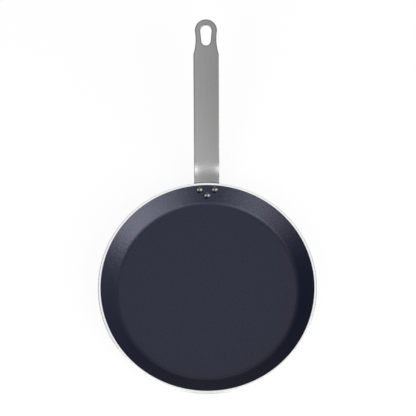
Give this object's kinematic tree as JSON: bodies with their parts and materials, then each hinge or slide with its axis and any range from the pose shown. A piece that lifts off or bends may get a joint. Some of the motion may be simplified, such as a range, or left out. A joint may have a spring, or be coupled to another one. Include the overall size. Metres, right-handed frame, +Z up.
{
  "type": "crepe pan",
  "caption": "Shallow round pan with a low sloping wall, a dark non-stick inside, a bare metal rim and a long flat riveted steel handle with a hanging eye.",
  "frame": {"origin": "middle of the base, on the surface that the pan stands on", "axes": "+Z up, +Y from the middle of the pan towards the end of the handle, +X to the right"},
  "size_m": [0.26, 0.4461, 0.0844],
  "materials": {
    "pan_aluminium": "turned, bare",
    "nonstick": "sprayed and baked fluoropolymer, satin",
    "handle_steel": "satin",
    "rivet_aluminium": "smooth, formed"
  },
  "bodies": {
    "root": {"pan_body": "pan_aluminium", "nonstick_coating": "nonstick", "handle": "handle_steel", "rivet_left": "rivet_aluminium", "rivet_right": "rivet_aluminium", "rivet_lower": "rivet_aluminium"}
  },
  "joints": []
}
